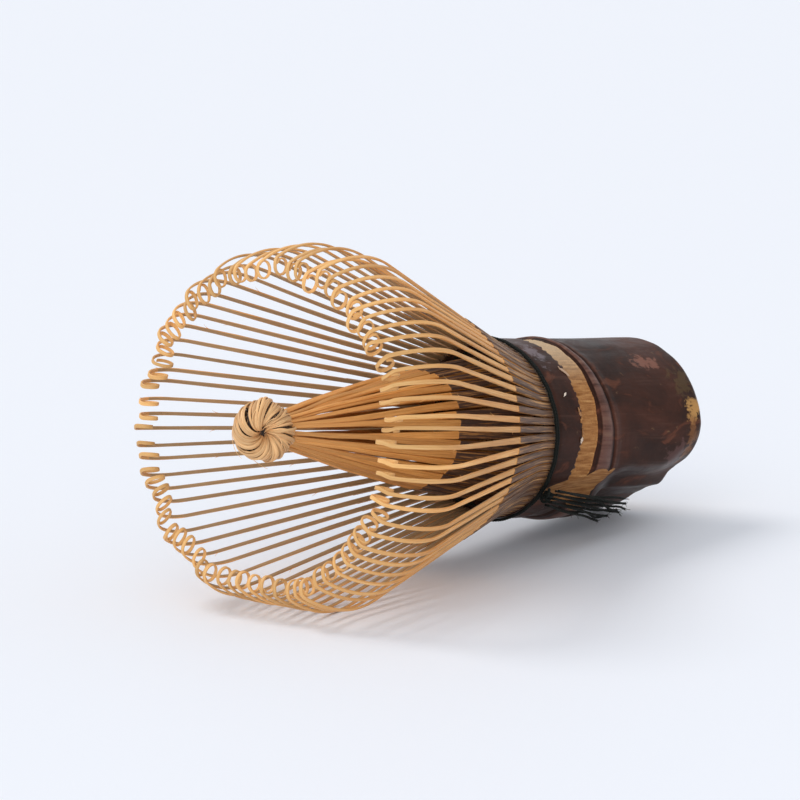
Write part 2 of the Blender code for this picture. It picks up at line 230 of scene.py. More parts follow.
def tube_faces(rows, corners, closed_rows=False):
    """Faces of a tube of rows of corners, facing out when across x outward is against travel."""
    faces = []
    for i in range(rows if closed_rows else rows - 1):
        n = (i + 1) % rows
        for j in range(corners):
            k = (j + 1) % corners
            faces.append((i * corners + j, n * corners + j, n * corners + k, i * corners + k))
    if not closed_rows:
        faces.append(tuple(range(corners)))
        faces.append(tuple(reversed(range((rows - 1) * corners, rows * corners))))
    return faces


def sweep(shape, centres, across, outward, profile, along, seed, mask, closed=False):
    """Carry a profile along a path. The profile's first axis is the path's stations."""
    rows, corners = profile.shape[:2]
    points = (centres[:, None, :] + profile[..., :1] * across[:, None, :]
              + profile[..., 1:] * outward[:, None, :])
    lay = np.stack((np.broadcast_to(np.asarray(along)[:, None], (rows, corners)),
                    profile[..., 0] + 7.31 * seed, profile[..., 1] + 3.17 * seed), axis=-1)
    shape.add(points, tube_faces(rows, corners, closed), lay, mask)


def ribbon_profile(widths, inner, outer, bevel=0.24):
    """An eight-cornered flat section, between an inner and an outer face."""
    widths, inner, outer = (np.asarray(v, float) for v in (widths, inner, outer))
    half = widths / 2.0
    cut = np.minimum(bevel * (outer - inner), 0.3 * half)
    corners = [(-half + cut, inner), (half - cut, inner), (half, inner + cut),
               (half, outer - cut), (half - cut, outer), (-half + cut, outer),
               (-half, outer - cut), (-half, inner + cut)]
    return np.stack([np.stack(np.broadcast_arrays(x, y), axis=-1) for x, y in corners], axis=1)


def round_profile(width, thickness, sides, twist=0.0):
    angles = np.arange(sides) * tau / sides
    width, thickness, twist = np.broadcast_arrays(width, thickness, twist)
    x = np.cos(angles)[None, :] * np.atleast_1d(width)[:, None] / 2.0
    y = np.sin(angles)[None, :] * np.atleast_1d(thickness)[:, None] / 2.0
    turn = np.atleast_1d(twist)[:, None]
    return np.stack((x * np.cos(turn) - y * np.sin(turn), x * np.sin(turn) + y * np.cos(turn)),
                    axis=-1)


def path_frame(centres, outward_hint, closed=False):
    """Sideways and outward directions along a path, square to its direction of travel."""
    if closed:
        travel = unit(np.roll(centres, -1, axis=0) - np.roll(centres, 1, axis=0))
    else:
        travel = unit(np.gradient(centres, axis=0))
    outward = outward_hint - travel * np.sum(outward_hint * travel, axis=-1, keepdims=True)
    outward = unit(outward)
    return np.cross(travel, outward), outward


def rolled(side, outward, roll):
    """A section's sideways and outward directions after a roll about its path."""
    across = side * np.cos(roll)[:, None] + outward * np.sin(roll)[:, None]
    return across, outward * np.cos(roll)[:, None] - side * np.sin(roll)[:, None]


def random_tone(source, middle, spread):
    return float(np.clip(source.normal(middle, spread), 0.0, 1.0))


def tine_mask(profile, skinned, tone, near_tip):
    """A tine's painted values, with skin on its outer face alone."""
    mask = np.zeros((*profile.shape[:2], 3))
    mask[..., 0] = np.where(skinned, 1.0, 0.0)[:, None] * (profile[..., 1] > -0.05)
    mask[..., 1] = tone
    mask[..., 2] = near_tip[:, None]
    return mask


def add_hair(shape, root, travel, bend, power, hint, widths, flatness, seed, mask):
    """A fine hair that leaves its root along its travel and bends away."""
    share = np.linspace(0.0, 1.0, len(widths))[:, None]
    path = root + travel * share + bend * share ** power
    side, outward = path_frame(path, np.broadcast_to(hint, path.shape))
    sweep(shape, path, side, outward, round_profile(widths, widths * flatness, 4), share[:, 0],
          seed, np.array(mask))


def path_length(centres):
    steps = np.linalg.norm(np.diff(centres, axis=0), axis=-1)
    return np.concatenate(((0.0,), np.cumsum(steps)))


# ---- outer tines

def far_share(angle):
    """How fully a tine belongs to the straighter far side, from 0 to 1."""
    return float(smooth_step(sin(angle), 0.3, 0.85))


def outer_curve(flare, source, curl_radius, curl_turn, shoulder_radius, flare_length):
    """An outer tine's middle line on a fine grid: length, station, reach and heading."""
    bend = FLARE_BEND_RADIUS * flare
    shoulder = shoulder_radius * (flare + SHOULDER_DROP)
    curl = curl_radius * curl_turn
    step = 0.04
    length = np.arange(0.0, TINE_FOOT + bend + flare_length + shoulder + curl + step, step)
    marks = np.cumsum((TINE_FOOT + bend, flare_length, shoulder, curl))
    curvature = np.where((length > TINE_FOOT) & (length < marks[0]), 1.0 / FLARE_BEND_RADIUS, 0.0)
    curvature = np.where((length >= marks[1]) & (length < marks[2]), -1.0 / shoulder_radius,
                         curvature)
    share = np.clip((length - marks[2]) / curl, 0.0, 1.0)
    spiral = curl_radius * (1.12 - 0.24 * share)
    curvature = np.where(length >= marks[2], -1.0 / spiral, curvature)
    sway = 0.0007 * wobble(length, 16.0, source) * (length < marks[2])
    heading = np.cumsum(curvature + sway) * step
    station = TINE_START + np.cumsum(np.cos(heading)) * step
    reach = OUTER_ROOT_RADIUS + np.cumsum(np.sin(heading)) * step
    return length, station, reach, heading, marks


def outer_samples(marks, skin_length):
    """Where along its length a tine has a section: close together at the skin edge and curl."""
    return np.concatenate((
        np.linspace(0.0, marks[0], 5), np.linspace(marks[0] + 1.0, skin_length - 0.05, 6),
        (skin_length + 0.02,), np.linspace(skin_length + 0.6, marks[1], 12),
        np.linspace(marks[1] + 0.8, marks[2] - 0.2, 15), np.linspace(marks[2], marks[3], 30)))


def curl_lean(angle):
    """Share of a curl's depth that it leans sideways. Beside the mouth the curls stay level."""
    level = exp(-(cos(angle) / CURL_LEVEL_REACH) ** 4)
    beside = -cos(angle) if sin(angle) > 0.0 else cos(angle)
    spread = CURL_LEAN * sin(2.0 * angle) * abs(sin(2.0 * angle))
    return level * beside + (1.0 - level) * spread


def curl_depth(at, marks, station, reach, heading):
    """How far each section has curled in from the line on which its curl began."""
    start = [float(np.interp(marks[2], at, v)) for v in (station, reach, heading)]
    depth = (station - start[0]) * sin(start[2]) - (reach - start[1]) * cos(start[2])
    return np.where(at > marks[2], depth, 0.0)


def parting_lean(angle):
    """The tines stand a little apart at one place on the near side."""
    away = (angle - PARTING_ANGLE + pi) % tau - pi
    side = 1.0 if away > 0.0 else -1.0
    return PARTING_LEAN * side * float(np.exp(-abs(away) / PARTING_REACH))


class OuterTine:
    """One outer tine: its random make-up, and its sections once its flare is known."""

    def __init__(self, angle, seed):
        self.seed = seed
        self.angle = angle
        self.source = np.random.default_rng(1000 + seed)
        draw = self.source
        self.flare_change = radians(draw.normal(0.0, 0.36))
        self.lean = radians(draw.normal(0.0, 0.36)) + parting_lean(angle)
        self.curl_radius = CURL_RADIUS * draw.normal(1.04, 0.035)
        self.curl_turn = radians(draw.normal(CURL_DEGREES, 13.0))
        if draw.uniform() < 0.04:
            self.curl_turn *= 0.82
            self.curl_radius *= 1.15
        far = far_share(angle)
        self.flare_change += FAR_FLARE_CHANGE * far
        self.flare_length = FLARE_LENGTH + (FAR_FLARE_LENGTH - FLARE_LENGTH) * far
        shoulder = SHOULDER_RADIUS + (FAR_SHOULDER_RADIUS - SHOULDER_RADIUS) * far
        self.shoulder_radius = shoulder * draw.normal(1.0, 0.035)
        towards_side = 1.0 if sin(2.0 * angle) > 0.0 else -1.0
        self.curl_side = towards_side if draw.uniform() < 0.95 else -towards_side
        self.width = draw.normal(1.0, 0.05)
        self.tone = random_tone(draw, 0.5, 0.2)
        self.skin_end = SKIN_END + draw.normal(0.0, 0.22)
        self.sway_seed = int(draw.integers(1 << 30))

    def middle(self, flare):
        source = np.random.default_rng(self.sway_seed)
        length, station, reach, heading, marks = outer_curve(
            flare, source, self.curl_radius, self.curl_turn, self.shoulder_radius,
            self.flare_length)
        skin_length = float(np.interp(self.skin_end, station[:400], length[:400]))
        at = outer_samples(marks, skin_length)
        values = [np.interp(at, length, v) for v in (station, reach, heading)]
        share = np.clip(at / marks[2], 0.0, 1.0)
        curl_share = np.clip((at - marks[2] + 1.0) / (marks[3] - marks[2]), 0.0, 1.2)
        angle = self.angle + self.lean * share ** 1.3
        aside = self.curl_side * CURL_SHIFT * smooth_step(curl_share, 0.05, 0.3)
        depth = curl_depth(at, marks, *values)
        aside = aside + curl_lean(self.angle) * depth
        centres = polar(values[0], values[1], angle)
        side = np.stack((-np.sin(angle), np.cos(angle), np.zeros_like(angle)), axis=-1)
        centres = centres + side * aside[:, None]
        return at, marks, skin_length, centres, side, angle, values[2]

    def settle(self):
        """The flare at which the tine just clears the table, if it reaches that low."""
        free = FLARE_ANGLE + self.flare_change
        if height(self.middle(free)[3]).min() >= TABLE_GAP:
            return free
        low, high = 0.75 * FLARE_ANGLE, free
        for _ in range(16):
            middle = (low + high) / 2.0
            if height(self.middle(middle)[3]).min() >= TABLE_GAP:
                low = middle
            else:
                high = middle
        return low

    def build(self, shape):
        at, marks, skin_length, centres, side, angle, heading = self.middle(self.settle())
        normal = (polar(-np.sin(heading), np.cos(heading), angle))
        slim = 1.0 - 0.2 * float(smooth_step(sin(self.angle), -0.3, 0.5))
        width = np.interp(at, (0.0, 9.0, marks[1], marks[2], marks[3]),
                          (0.98 * slim, 1.0 * slim, 0.64 * slim, 0.56, 0.52)) * self.width
        width = width * (1.0 + 0.035 * wobble(at, 5.0, self.source))
        thickness = np.interp(at, (0.0, 10.0, marks[1], marks[2], marks[3]), OUTER_THICKNESS)
        skinned = at < skin_length
        outer = thickness / 2.0 + np.where(skinned, OUTER_SKIN, 0.0)
        inner = -thickness / 2.0
        profile = ribbon_profile(width, inner, outer)
        roll = radians(2.5) * wobble(at, 18.0, self.source)
        roll = roll + self.curl_side * radians(2.0) * smooth_step(at, marks[2], marks[3])
        across, outward = rolled(side, normal, roll)
        mask = tine_mask(profile, skinned, self.tone, smooth_step(at, marks[1], marks[2]))
        # Inner faces away from the curl are marked -1 and painted greyer: painted shade.
        inner_face_shade = (at < marks[2] - 3.0)[:, None] * (profile[..., 1] < -0.1)
        mask[..., 0] = np.where(inner_face_shade, -1.0, mask[..., 0])
        sweep(shape, centres, across, outward, profile, at, self.seed, mask)
        self.add_burrs(shape, centres, across, outward, width, at, marks)

    def add_burrs(self, shape, centres, across, outward, width, at, marks):
        """Hair-fine slivers standing off the knife-cut edges."""
        for _ in range(int(self.source.integers(0, 3))):
            start = self.source.uniform(14.0, marks[2])
            i = int(np.argmin(np.abs(at - start)))
            edge = self.source.choice((-1.0, 1.0))
            travel = unit(centres[min(i + 1, len(at) - 1)] - centres[i - 1])
            reach = self.source.uniform(0.5, 1.5)
            off = edge * across[i] * self.source.uniform(0.15, 0.5)
            off = off + outward[i] * self.source.uniform(-0.1, 0.4)
            root = centres[i] + edge * across[i] * width[i] * 0.48
            add_hair(shape, root, travel * reach, off * reach, 1.8, outward[i],
                     np.linspace(0.1, 0.025, 5), 0.6, self.seed + 0.5, (0.0, 0.85, 0.6))


def add_root_block(shape, first_angle, pitch, root_radius, faces, slit, seed):
    """The unslit foot that the tines of one split share, as a curved plate."""
    inner, outer = faces
    half = (pitch * root_radius - slit) / (2.0 * root_radius)
    angles = np.linspace(first_angle - half, first_angle + 2.0 * pitch + half, 16)
    top = np.maximum(WRAP_POSITION - 0.1 + WRAP_SLANT * np.cos(angles), ROOT_START + 0.5)
    corners = ((ROOT_START, inner), (ROOT_START, outer), (top - 0.3, outer), (top, outer - 0.05),
               (top, inner + 0.05), (top - 0.3, inner))
    points = np.stack([polar(s, r, angles) for s, r in corners], axis=1)
    lay = np.stack((points[..., 2], root_radius * np.arctan2(points[..., 1], points[..., 0])
                    + seed, np.linalg.norm(points[..., :2], axis=-1)), axis=-1)
    mask = np.zeros(points.shape)
    mask[..., 0] = 1.0
    mask[..., 1] = 0.4
    shape.add(points, [tuple(reversed(face)) for face in tube_faces(16, 6)], lay, mask)


def add_outer_tine(shape, angle, seed):
    OuterTine(angle, seed).build(shape)


def make_splits(kind, count, root, add_tine, material, slot):
    """One ring of splits: each is a root block with the tines that grow from it."""
    root_radius, faces, slit = root
    pitch = tau / (count * TINES_PER_SPLIT)
    for number in range(count):
        shape = Shape()
        first_angle = pitch * (TINES_PER_SPLIT * number - 1)
        add_root_block(shape, first_angle, pitch, root_radius, faces, slit, number)
        for k in range(TINES_PER_SPLIT):
            add_tine(shape, first_angle + pitch * k, TINES_PER_SPLIT * number + k)
        label = f"{number + 1:02d}"
        shape.piece(f"tines_{kind}_{label}", material, slot, [f"{kind}_split_{label}"])


# ---- inner tines

def inner_middle(share):
    """Station and reach of an inner tine's middle line on its curve to the knot."""
    start = (ROOT_START + ROOT_LENGTH, INNER_ROOT_RADIUS)
    weights = ((1.0 - share) ** 2, 2.0 * share * (1.0 - share), share ** 2)
    return [sum(w * p[k] for w, p in zip(weights, (start, INNER_WAIST, INNER_TIP)))
            for k in (0, 1)]


def add_inner_tine(shape, angle, seed):
    source = np.random.default_rng(3000 + seed)
    share = np.concatenate((np.linspace(0.0, 0.13, 6), np.linspace(0.16, 1.0, 20)))
    skin_end = INNER_SKIN_END + source.normal(0.0, 0.3)
    station, reach = inner_middle(share)
    station = np.insert(station, 0, ROOT_START + 0.4)
    reach = np.insert(reach, 0, INNER_ROOT_RADIUS)
    edge = int(np.searchsorted(station, skin_end))
    for value in (skin_end - 0.03, skin_end + 0.03):
        reach = np.insert(reach, edge, np.interp(value, station, reach))
        station = np.insert(station, edge, value)
        edge += 1
    spread = smooth_step(station, 50.0, 84.0)
    drift = radians(source.normal(0.0, 5.0)) * spread
    drift = drift + radians(2.0) * wobble(station, 22.0, source) * spread
    layer = source.uniform(-0.5, 0.2) * spread + 0.1 * wobble(station, 20.0, source) * spread
    turn = angle + drift
    centres = polar(station, reach + layer, turn)
    side, outward = path_frame(centres, polar(0.0, 1.0, turn))
    roll = radians(source.normal(0.0, 17.0)) * smooth_step(station, 42.0, 60.0)
    across, normal = rolled(side, outward, roll)
    width = np.interp(station, (37.0, 45.0, 60.0, 84.3), INNER_WIDTH)
    width = width * source.normal(1.0, 0.06)
    thickness = np.interp(station, (37.0, 45.0, 84.3), INNER_THICKNESS)
    skinned = station < skin_end
    outer = thickness / 2.0 + np.where(skinned, INNER_SKIN, 0.0)
    profile = ribbon_profile(width, -thickness / 2.0, outer)
    mask = tine_mask(profile, skinned, random_tone(source, 0.5, 0.22),
                     smooth_step(station, 60.0, 84.0))
    sweep(shape, centres, across, normal, profile, station, 200 + seed, mask)


# ---- knot of the inner tines

def knot_surface(turn, angle, swell):
    """A point of the knot: turn runs from its hole, over its back and rim, to its front."""
    tube = KNOT_RADIUS - KNOT_RING + swell
    reach = KNOT_RING - tube * np.cos(turn)
    return polar(-(KNOT_HALF_LENGTH * 0.9 + swell) * np.sin(turn), np.maximum(reach, 0.3), angle)


def knot_to_whisk(points):
    turn = Matrix.Rotation(KNOT_TURN, 3, "X") @ Matrix.Rotation(KNOT_DIP, 3, "Y")
    return points @ np.array(turn).T + np.array((0.0, 0.0, KNOT_CENTRE))


def add_knot_core(shape):
    """The inside of the knot, painted in near-black as shade, seen only between its strands."""
    turns = np.linspace(0.0, tau, 29)[:-1]
    angles = np.linspace(0.0, tau, 41)[:-1]
    rows = [knot_surface(np.full_like(angles, t), angles, np.full_like(angles, -0.42))
            for t in turns]
    points = knot_to_whisk(np.stack(rows, axis=0))
    painted_shade = np.array((1.0, 0.0, 0.0))
    shape.add(points, tube_faces(len(turns), len(angles), True), points, painted_shade)
    # The plug that fills the knot's hole carries the same painted shade.
    plug = [polar(station, reach, angles) for station, reach in
            ((-1.6, 0.1), (-1.4, 1.5), (0.0, 1.6), (1.2, 1.5), (1.35, 0.1))]
    points = knot_to_whisk(np.stack(plug, axis=0))
    faces = [tuple(reversed(face)) for face in tube_faces(len(plug), len(angles))]
    shape.add(points, faces, points, painted_shade)


def add_knot_strand(shape, number):
    """A strand from the back of the knot, over its rim and front, and down into its hole."""
    source = np.random.default_rng(5000 + number)
    bunch = number * KNOT_BUNCHES // KNOT_STRANDS
    group = np.random.default_rng(5500 + bunch)
    start = tau * number / KNOT_STRANDS + source.normal(0.0, 0.03)
    side = cos(start - radians(140.0))
    swirl = radians(112.0 + 52.0 * side) + group.normal(0.0, 0.17) + source.normal(0.0, 0.1)
    lift = group.uniform(-0.24, 0.2) + source.uniform(-0.18, 0.16)
    count = 32
    share = np.linspace(0.0, 1.0, count)
    turn = radians(98.0) + share * radians(318.0)
    spiral = swirl * (0.25 * share + 0.75 * share ** 1.8)
    angle = start + spiral + 0.03 * wobble(share * 10.0, 4.0, source)
    bundle = tau * (bunch + 0.5) / KNOT_BUNCHES + spiral
    pull = 0.26 * np.exp(-((share - 0.5) / 0.3) ** 2)
    angle = angle * (1.0 - pull) + bundle * pull
    swell = lift + 0.07 * wobble(share * 10.0, 5.0, source)
    centres = knot_to_whisk(knot_surface(turn, angle, swell))
    middle = knot_to_whisk(polar(np.zeros(count), np.full(count, KNOT_RING), angle))
    across, outward = path_frame(centres, centres - middle)
    width = source.uniform(0.22, 0.44) * np.interp(share, (0.0, 0.5, 1.0), (1.1, 1.0, 0.6))
    profile = round_profile(width, width * source.uniform(0.55, 0.85), 7,
                            source.uniform(-0.5, 0.5))
    mask = np.zeros((*profile.shape[:2], 3))
    mask[..., 1] = random_tone(source, 0.55, 0.28)
    mask[..., 2] = 1.0
    sweep(shape, centres, across, outward, profile, share * 16.0, 400 + number, mask)


def add_knot_stray(shape, number):
    """A fibre that has sprung loose from the knot."""
    source = np.random.default_rng(5900 + number)
    angle = source.uniform(0.0, tau)
    share = np.linspace(0.0, 1.0, 9)
    lift = share ** 1.6 * source.uniform(0.4, 1.3)
    turn = source.uniform(2.4, 5.0) + share * source.uniform(0.5, 1.1)
    local = knot_surface(turn, angle + share * source.uniform(0.4, 1.2), 0.2 + lift)
    centres = knot_to_whisk(local)
    across, outward = path_frame(centres, centres - knot_to_whisk(np.zeros((1, 3))))
    size = np.linspace(0.16, 0.07, 9)
    sweep(shape, centres, across, outward, round_profile(size, size * 0.7, 5), share * 4.0,
          600 + number, np.array((0.0, 0.8, 1.0)))


def make_knot(material):
    shape = Shape()
    add_knot_core(shape)
    for number in range(KNOT_STRANDS):
        add_knot_strand(shape, number)
    for number in range(KNOT_STRAYS):
        add_knot_stray(shape, number)
    shape.piece("knot_strands", material, "inner_bamboo", ["inner_knot"])


# ---- handle

CULM_COLUMNS = 300
culm_source = np.random.default_rng(11)
CULM_ANGLES = np.arange(CULM_COLUMNS) * tau / CULM_COLUMNS


def smooth_least(first, second, blend):
    share = np.maximum(blend - np.abs(first - second), 0.0) / blend
    return np.minimum(first, second) - share * share * blend / 4.0


def flat_distance(station):
    share = (station - FLAT_END) / (HANDLE_TOP - FLAT_END)
    return FLAT_DISTANCE + (HANDLE_RADIUS - FLAT_DISTANCE) * max(share, 0.0)


def across_flat(angles):
    return (angles - FLAT_ANGLE + pi) % tau - pi


def flattened(round_radius, distance, angles, blend):
    """A round outline with one flattened side."""
    across = across_flat(angles)
    cut = smooth_least(round_radius, distance / np.maximum(np.cos(across), 0.05), blend)
    return np.where(np.abs(across) > radians(80.0), round_radius, cut)


# How far the worn side reaches from the axis, as angle and radius: at the handle's end, along
# the grip and past the node. It has two channels with a ridge between them. Past the node only
# the upper channel is left.
WORN_END = ((-215, 17.0), (-205, 15.0), (-198, 14.2), (-190, 13.2), (-180, 12.0), (-174, 11.3),
            (-166, 10.6), (-152, 10.3), (-145, 10.6), (-139, 11.1), (-134, 10.9), (-126, 10.7),
            (-116, 11.4), (-110, 12.2), (-106, 12.75), (-101, 13.25), (-96, 13.7), (-90, 14.15),
            (-83, 14.5), (-74, 15.5), (-68, 17.0))
WORN_GRIP = ((-215, 17.0), (-205, 15.2), (-198, 14.4), (-190, 13.4), (-180, 12.2), (-174, 11.5),
             (-166, 10.8), (-152, 10.4), (-145, 10.8), (-139, 11.4), (-134, 11.15),
             (-126, 11.15), (-118, 12.3), (-112, 13.5), (-108, 14.1), (-100, 14.7), (-94, 15.6),
             (-88, 17.0))
WORN_NODE = ((-215, 17.0), (-160, 15.0), (-150, 14.3), (-143, 13.65), (-136, 12.95),
             (-128, 12.75), (-120, 13.25), (-112, 13.95), (-104, 14.9), (-90, 17.0))


def worn_reach(table):
    """A worn side's reach at each of the culm's columns, softened over a few degrees."""
    degrees = np.degrees(CULM_ANGLES)
    degrees = np.where(degrees > 145.0, degrees - 360.0, degrees)
    reach = np.interp(degrees, [row[0] for row in table], [row[1] for row in table])
    weights = np.exp(-(np.arange(-5, 6) / 2.2) ** 2)
    rolled = [np.roll(reach, shift) * w for shift, w in zip(range(-5, 6), weights)]
    return sum(rolled) / weights.sum()


def worn_side(station):
    """The worn side at a station. It runs out below the thread."""
    along_grip = float(smooth_step(station, 0.0, 9.0))
    reach = worn_end_reach * (1.0 - along_grip) + worn_grip_reach * along_grip
    past_node = max(station - 21.0, 0.0)
    above = float(smooth_step(station, 16.0, 23.0))
    channel = worn_node_reach + 0.02 * past_node + 0.0035 * past_node ** 2
    return reach * (1.0 - above) + channel * above


# The culm's round outline: station, and how far it stands out from the handle's radius.
OUTLINE = np.array([
    (0.0, -0.8), (0.25, -0.25), (0.9, 0.0), (5.0, -0.1), (10.0, -0.28), (15.0, -0.42),
    (21.0, -0.5), (21.9, -0.4), (22.5, -0.42), (22.9, -0.66), (23.25, -0.48), (24.0, -0.3),
    (24.8, -0.2), (25.6, -0.22), (26.2, -0.4), (26.4, -0.55), (26.6, -0.5), (26.9, -0.66),
    (27.05, -0.86), (31.2, -0.9)])


def round_reach(station):
    """The culm's round radius below its torn ring edge, softened over about half a millimetre."""
    near = station + np.linspace(-0.22, 0.22, 7)
    near = np.clip(near, 0.0, None) if station > 0.9 else np.full(7, station)
    return HANDLE_RADIUS + float(np.mean(np.interp(near, OUTLINE[:, 0], OUTLINE[:, 1])))


worn_end_reach = worn_reach(WORN_END)
worn_grip_reach = worn_reach(WORN_GRIP)
worn_node_reach = worn_reach(WORN_NODE)
torn_edge = (RING_END - 0.15 + 0.34 * ring_wobble(CULM_ANGLES, 3, 16, culm_source)
             + 0.26 * ring_wobble(CULM_ANGLES, 30, 90, culm_source, 12))
ring_low = NODE_END + 0.07 * ring_wobble(CULM_ANGLES, 4, 24, culm_source)
below_corner = -across_flat(CULM_ANGLES)
ring_fade = radians(2.0) * ring_wobble(CULM_ANGLES, 4, 24, culm_source)
ring_bared = smooth_step(np.abs(across_flat(CULM_ANGLES) + radians(26.0)) + ring_fade,
                         radians(37.0), radians(39.0))
facet_edge = 21.6 + 1.6 * smooth_step(below_corner, radians(-40.0), radians(-14.0))
facet_edge = facet_edge + 3.0 * smooth_step(below_corner, radians(-14.0), radians(26.0))
facet_edge = facet_edge + 0.16 * ring_wobble(CULM_ANGLES, 20, 70, culm_source, 10)
grip_ripple = ring_wobble(CULM_ANGLES, 5, 30, culm_source, 10)
fine_ripple = ring_wobble(CULM_ANGLES, 60, 140, culm_source, 16)


def culm_row(station, source):
    """Radii and surface kinds of the culm's outside at a station."""
    angles = CULM_ANGLES
    collar = HANDLE_RADIUS - 0.62 - 0.16 * float(smooth_step(station, HANDLE_TOP - 1.0,
                                                             HANDLE_TOP + 0.1))
    above_edge = smooth_step(station, torn_edge - 0.12, torn_edge + 0.12)
    reach = round_reach(station) * (1.0 - above_edge) + collar * above_edge
    in_ring = smooth_step(station, ring_low - 0.08, ring_low + 0.08) * (1.0 - above_edge)
    in_ring = in_ring * ring_bared
    fibre = 0.035 * fine_ripple + 0.03 * source.normal(size=len(angles))
    reach = reach + in_ring * fibre + (1.0 - in_ring) * 0.035 * grip_ripple
    worn = worn_side(station)
    if station < 0.9:
        worn = worn - float(np.interp(station, (0.0, 0.25, 0.9), (0.75, 0.22, 0.0)))
    shaped = smooth_least(reach, worn, 0.3)
    cut = smooth_step(reach - shaped, 0.06, 0.14)
    facet = cut * smooth_step(station, facet_edge - 0.15, facet_edge + 0.15)
    shaped = shaped + facet * 0.02 * fine_ripple - facet * 0.05
    mask = np.zeros((len(angles), 3))
    mask[:, 0] = np.maximum(in_ring, facet)
    ridge = smooth_step(station, *RIDGE_FOOT) * (1.0 - smooth_step(station, *RIDGE_CREST))
    ridge = ridge + 0.45 * np.exp(-((station - LOWER_LINE) / 0.4) ** 2)
    mask[:, 1] = ridge * (1.0 - mask[:, 0])
    # The groove values mark where the material paints near-black shade in the creases.
    groove = np.exp(-((station - GROOVE_POSITION) / 0.2) ** 2)
    groove = groove + 0.6 * np.exp(-((station - UPPER_GROOVE) / 0.16) ** 2)
    mask[:, 1] = mask[:, 1] - groove * (1.0 - mask[:, 0])
    mask[:, 2] = 1.0 - float(smooth_step(station, 0.1, 0.35))
    return shaped, mask


def slant(station):
    """How far the culm's rings lean: most at the groove below the node, not at all above it."""
    return float(np.interp(station, (0.0, GROOVE_POSITION, NODE_END), (0.0, GROOVE_SLANT, 0.0)))


def collar_rise(station, angles):
    """How far the collar reaches up under the slanting thread."""
    share = float(smooth_step(station, RING_END, HANDLE_TOP))
    return COLLAR_RISE * share * (1.0 + np.cos(angles))


def culm_rows():
    """Every ring of the culm in order: up its bore, up its outside, and down its cup."""
    source = np.random.default_rng(12)
    angles = CULM_ANGLES
    rows = []
    bore_mask = np.tile((0.0, 0.0, 1.0), (len(angles), 1))
    bore = HANDLE_RADIUS - BAMBOO_WALL

    def add_row(station, radii, mask):
        rows.append((polar(station, radii, angles), mask))

    def bore_row(station, shrink=0.0, scale=1.0):
        inside = flat_distance(station) - BAMBOO_WALL
        radius = bore - shrink + 0.05 * ring_wobble(angles, 2, 9, np.random.default_rng(5))
        add_row(station, flattened(radius, inside - shrink, angles, 3.5) * scale, bore_mask)

    for scale in (0.02, 0.25, 0.5, 0.75, 0.93):
        bore_row(DIAPHRAGM_BOTTOM - 0.5 * scale ** 4, 0.6, scale)
    for station in np.linspace(DIAPHRAGM_BOTTOM - 0.9, 0.35, 14):
        bore_row(station, 0.6 * station / DIAPHRAGM_BOTTOM)
    bore_row(0.12, -0.06)
    bore_row(0.0, -0.24)
    outer_end, _ = culm_row(0.0, source)
    bore_end = np.linalg.norm(rows[-1][0][:, :2], axis=1)
    for share in (0.15, 0.3, 0.45, 0.6, 0.75, 0.9):
        radii = bore_end + (outer_end - bore_end) * share
        add_row(0.02 * source.normal(size=len(angles)) + 0.03, radii, bore_mask)
    stations = np.concatenate((
        (0.0, 0.08, 0.17, 0.28, 0.42, 0.6, 0.85), np.linspace(1.1, 20.9, 42),
        np.linspace(21.1, 26.6, 38), np.linspace(26.7, 33.0, 72),
        np.linspace(33.6, 35.2, 8), (35.45, 35.7, 35.9, 36.05, HANDLE_TOP)))
    for station in stations:
        radii, mask = culm_row(float(station), source)
        shift = slant(float(station)) * np.cos(angles)
        shift = shift + collar_rise(float(station), angles)
        add_row(station + shift, radii, mask)
    dark_mask = np.zeros((len(angles), 3))
    for share in (0.2, 0.5, 0.8):
        radii = radii * (1.0 - share) + CUP_RADIUS * share
        add_row(HANDLE_TOP + collar_rise(HANDLE_TOP, angles), radii, dark_mask)
    for station in np.linspace(HANDLE_TOP - 0.2, DIAPHRAGM_TOP + 0.6, 8):
        add_row(station, CUP_RADIUS, bore_mask)
    for scale in (0.93, 0.7, 0.4, 0.02):
        add_row(DIAPHRAGM_TOP + 0.4 * scale ** 4, CUP_RADIUS * scale, bore_mask)
    return rows


# Small flakes of bamboo lifted at the torn edge: station, angle, length, width, lean, tone.
FLAKES = (
    (34.3, -63.0, 1.3, 0.3, -35.0, 1.0),
    (31.9, -46.0, 2.4, 0.5, 48.0, 0.4),
    (31.6, -74.0, 1.5, 0.45, 62.0, 0.15),
    (31.3, -79.0, 1.1, 0.45, 100.0, 0.0),
    (31.2, -92.0, 1.0, 0.5, 80.0, 0.7),
    (31.0, -87.0, 1.4, 0.35, 70.0, 0.1),
    (31.4, 20.0, 1.4, 0.4, -30.0, 0.2),
    (31.3, 96.0, 1.2, 0.4, 50.0, 0.1),
    (31.5, 150.0, 1.6, 0.4, 20.0, 0.2),
)


def add_flake(shape, number, station, degrees, length, width, lean, tone):
    source = np.random.default_rng(7000 + number)
    angle = radians(degrees)
    share = np.linspace(-0.5, 0.5, 7)
    tilt = radians(lean)
    reach = HANDLE_RADIUS - 0.6 + 0.22 * (share + 0.5) ** 2 + 0.04 * source.normal(size=7)
    stations = station + length * share * cos(tilt)
    turn = angle + length * share * sin(tilt) / HANDLE_RADIUS
    centres = polar(stations, reach, turn)
    across, outward = path_frame(centres, polar(np.zeros(7), 1.0, turn))
    widths = width * np.array((0.5, 0.75, 1.0, 0.8, 0.9, 0.5, 0.15))
    widths = widths * (1.0 + 0.25 * source.normal(size=7)).clip(0.4, 1.6)
    profile = ribbon_profile(widths, np.full(7, -0.08), np.full(7, 0.05))
    mask = np.array((1.0 + 0.5 * tone, 0.0, 0.0))
    sweep(shape, centres, across, outward, profile, share, 700 + number, mask)


